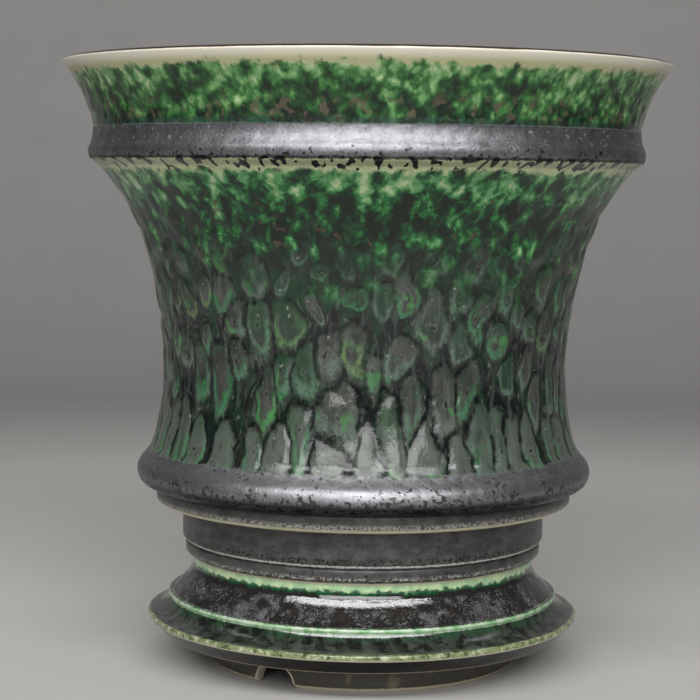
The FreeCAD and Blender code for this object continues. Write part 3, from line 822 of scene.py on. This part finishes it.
def stand_material():
    """Glossy black glaze with frosty crystals, pale green where it breaks over the top and the ridges."""
    g = Glaze("stand_glaze_crystal")
    level = g.level
    fine = g.noise(0.6, detail=4.0, rough=0.65, offset=4.0)
    middle = g.noise(2.4, detail=3.0, offset=14.0)
    spots = g.noise(1.3, offset=24.0)
    frost = g.noise(0.35, detail=3.0, rough=0.7, offset=34.0)
    flake = g.flakes(3.2, offset=2.0)
    small = g.flakes(0.9, offset=8.0)

    # slope with crystals, and the apron under the upper ridge
    pooled = g.span(g.plus(level, g.swing(spots, 1.2)), 18.7, 18.2)
    crystal = g.times(g.span(flake, 0.5, 0.6), g.span(middle, 0.40, 0.60), pooled)
    crystal_tone = g.mix(small, tone(58, 57, 61), tone(124, 123, 128))
    frosted = g.times(g.span(frost, 0.52, 0.66), g.span(middle, 0.40, 0.58), pooled)
    colour = g.mix(fine, tone(18, 16, 15), tone(44, 41, 40))
    colour = g.paint(colour, crystal_tone, crystal, g.span(spots, 0.35, 0.6, 0.15, 0.55))
    colour = g.paint(colour, tone(140, 138, 139), frosted, 0.75)
    apron = g.mix(g.span(middle, 0.36, 0.66), tone(16, 21, 17), tone(54, 60, 54))
    apron = g.paint(apron, tone(77, 83, 77), g.span(flake, 0.6, 0.7), g.span(spots, 0.45, 0.6), 0.5)
    colour = g.paint(colour, apron, g.span(level, 13.6, 13.2))

    # pale top with its dripping green border and the bare edge
    drip = g.plus(level, g.swing(fine, 0.8), g.swing(spots, 2.0), g.swing(middle, 0.8))
    mint = g.mix(g.span(middle, 0.35, 0.65), tone(140, 178, 134), tone(180, 200, 154))
    colour = g.paint(colour, tone(16, 70, 40), g.span(drip, 19.2, 19.6))
    colour = g.paint(colour, mint, g.span(drip, 19.8, 20.3))
    colour = g.paint(colour, tone(206, 192, 168), g.span(g.plus(level, g.swing(fine, 0.6)), 21.2, 21.4))

    # upper ridge with green below it, the speckled lower edge, the painted shade of the underside and the
    # well
    ridge = g.plus(level, g.swing(fine, 0.5))
    below = g.times(g.band(ridge, 11.9, 13.6, 0.5), g.span(middle, 0.38, 0.6))
    ridge_tone = g.mix(g.span(middle, 0.35, 0.65), tone(116, 168, 114), tone(186, 203, 178))
    speckle = g.ramp(
        g.blend(0.5, spots, fine),
        (0.38, tone(46, 54, 32)),
        (0.48, tone(118, 132, 86)),
        (0.62, tone(180, 184, 156)),
    )
    # near-black colour on the underside: painted shade
    under = g.mix(fine, tone(7, 6, 6), tone(19, 17, 15))
    well = g.times(g.span(g.vector("LENGTH", g.flat()), 32.2, 31.8), g.span(level, 21.7, 21.5))
    colour = g.paint(colour, tone(30, 72, 38), below, 0.6)
    colour = g.paint(colour, ridge_tone, g.band(ridge, 13.0, 14.0, 0.12))
    colour = g.paint(colour, speckle, g.band(level, 9.0, 10.12, 0.05))
    colour = g.paint(colour, tone(186, 184, 158), g.band(level, 8.9, 9.2, 0.1))
    colour = g.paint(colour, under, g.span(level, 8.95, 8.75))
    colour = g.paint(colour, tone(150, 134, 100), g.band(ridge, 5.9, 6.25, 0.1))
    colour = g.paint(colour, g.mix(middle, tone(30, 27, 24), tone(58, 52, 45)), well)

    # shine: glossy, duller on crystals, and metallic on the underside, so that its near-black painted shade
    # darkens its reflections too
    roughness = g.blend(g.times(crystal, g.span(level, 13.0, 14.0)), g.blend(fine, 0.04, 0.10), 0.22)
    metallic = g.span(level, 8.9, 8.7, 0.0, 0.95)
    height = g.times(g.plus(g.times(fine, 0.5), middle), g.blend(pooled, 0.4, 1.0))
    return g.finish(colour, roughness, metallic, height, depth=0.05, specular=0.9)


def foot_material():
    """Thin brown glaze, bare on the sole and along the notches."""
    g = Glaze("foot_glaze_thin")
    fine = g.noise(0.6, detail=4.0, rough=0.65, offset=6.0)
    cloud = g.noise(4.0, detail=3.0, offset=16.0)
    clear = g.plus(g.kept("clear"), g.swing(fine, 0.3))
    bare = g.most(g.span(clear, 0.45, 0.2), g.span(g.plus(g.level, g.swing(fine, 0.5)), 1.0, 0.7))
    colour = g.mix(fine, tone(42, 40, 33), tone(76, 72, 60))
    colour = g.paint(colour, tone(150, 136, 108), g.span(cloud, 0.55, 0.7), 0.35)
    colour = g.paint(colour, tone(206, 197, 174), bare)
    return g.finish(colour, g.blend(fine, 0.28, 0.45), 0.0, fine, depth=0.04)


def screen_material():
    """Moulded dark green-black plastic with a fine grain."""
    g = Glaze("screen_moulded")
    fine = g.noise(0.35, detail=3.0, offset=2.0)
    cloud = g.noise(6.0, offset=12.0)
    colour = g.mix(g.plus(g.times(fine, 0.4), g.times(cloud, 0.6)), tone(34, 40, 36), tone(58, 66, 60))
    return g.finish(colour, g.blend(fine, 0.45, 0.6), 0.0, fine, depth=0.03)


def dress(piece, node, body, material):
    """Puts a material on a piece that stands for a solid and lets it ride on its body."""
    piece.data.materials.append(material)
    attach(piece, body)
    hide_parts(node)


neck = neck_material()
stand = stand_material()
dress(make_bowl(), "bowl", "pot", bowl_material())
plate_piece = make_turned("base_plate", PLATE_SECTION, NECK_PITCH, NECK_COLUMNS, NECK_RIPPLE)
dress(plate_piece, "base_plate", "pot", neck)
collar_piece = make_turned("collar", COLLAR_SECTION, NECK_PITCH, NECK_COLUMNS, NECK_RIPPLE)
dress(collar_piece, "collar", "pot", neck)
pedestal_piece = make_turned("pedestal", PEDESTAL_SECTION, STAND_PITCH, STAND_COLUMNS, STAND_RIPPLE)
dress(pedestal_piece, "pedestal", "stand", stand)
dress(make_foot(), "foot_ring", "stand", foot_material())
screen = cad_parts["drain_screen"]
screen.data.materials.clear()
screen.data.materials.append(screen_material())

# Camera, fitted to the photograph's edge lines: distance, height, downward look, turn to the left and roll.
PHOTO_WIDTH = 700
FOCAL_PIXELS = 1966.7
CAMERA_PLACE = Vector((0.0, -393.4, 96.7)) * MM
LOOK_DOWN, LOOK_LEFT, ROLL = math.radians(5.032), math.radians(0.425), math.radians(0.603)
camera_data = bpy.data.cameras.new("camera")
camera_data.sensor_width = 36.0
camera_data.lens = FOCAL_PIXELS / PHOTO_WIDTH * camera_data.sensor_width
camera = bpy.data.objects.new("camera", camera_data)
bpy.context.scene.collection.objects.link(camera)
camera.matrix_world = (
    Matrix.Translation(CAMERA_PLACE)
    @ Matrix.Rotation(LOOK_LEFT, 4, "Z")
    @ Matrix.Rotation(math.pi / 2 - LOOK_DOWN, 4, "X")
    @ Matrix.Rotation(ROLL, 4, "Z")
)
bpy.context.scene.camera = camera


def make_floor():
    """A pale sweep: a floor that curves up into a wall behind the pot."""
    front, front_half, back_half = -2.6, 2.6, 0.9
    bend_start, bend, bend_steps, top = 0.45, 0.3, 16, 0.9
    side = [(front_half, front, 0.0), (back_half, bend_start, 0.0)]
    for step in range(1, bend_steps + 1):
        turn = step / bend_steps * math.pi / 2
        side.append((back_half, bend_start + bend * math.sin(turn), bend * (1 - math.cos(turn))))
    side.append((back_half, bend_start + bend, top))
    points = [(x, y, z) for half, y, z in side for x in (-half, half)]
    faces = [(2 * i, 2 * i + 1, 2 * i + 3, 2 * i + 2) for i in range(len(side) - 1)]
    mesh = bpy.data.meshes.new("floor")
    mesh.from_pydata(points, [], faces)
    mesh.polygons.foreach_set("use_smooth", np.ones(len(faces), bool))
    floor = bpy.data.objects.new("floor", mesh)
    bpy.context.scene.collection.objects.link(floor)
    g = Glaze("floor_pale")
    cloud = g.noise(40.0, detail=3.0)
    # pale near the pot and darker further out: a painted falloff of light
    near = g.mix(cloud, tone(188, 186, 183), tone(194, 192, 189))
    far = g.mix(cloud, tone(138, 136, 134), tone(144, 142, 140))
    mesh.materials.append(g.finish(g.mix(g.span(g.vector("LENGTH", g.spot), 120.0, 480.0), near, far), 0.8))


def make_lamp(name, place, aim, size, power):
    """A rectangular lamp: places and size in metres, power in watts."""
    data = bpy.data.lights.new(name, "AREA")
    data.shape = "RECTANGLE"
    data.size, data.size_y = size
    data.energy = power
    lamp = bpy.data.objects.new(name, data)
    lamp.location = place
    lamp.rotation_euler = (Vector(aim) - Vector(place)).to_track_quat("-Z", "Y").to_euler()
    bpy.context.scene.collection.objects.link(lamp)


WORLD_LIGHT = (0.07, 0.07, 0.07, 1.0)
make_floor()
make_lamp("key", (-0.04, -0.69, 0.64), (0.0, 0.0, 0.06), (1.5, 0.2), 9.5)
make_lamp("fill", (0.0, -1.08, 0.45), (0.0, 0.0, 0.07), (1.0, 0.38), 6.4)
make_lamp("back", (0.0, 0.15, 0.6), (0.0, 0.75, 0.2), (1.2, 0.3), 1.6)
world = bpy.data.worlds.new("studio")
bpy.context.scene.world = world
world.use_nodes = True
world.node_tree.nodes["Background"].inputs["Color"].default_value = WORLD_LIGHT
bpy.context.scene.view_settings.view_transform = "Standard"
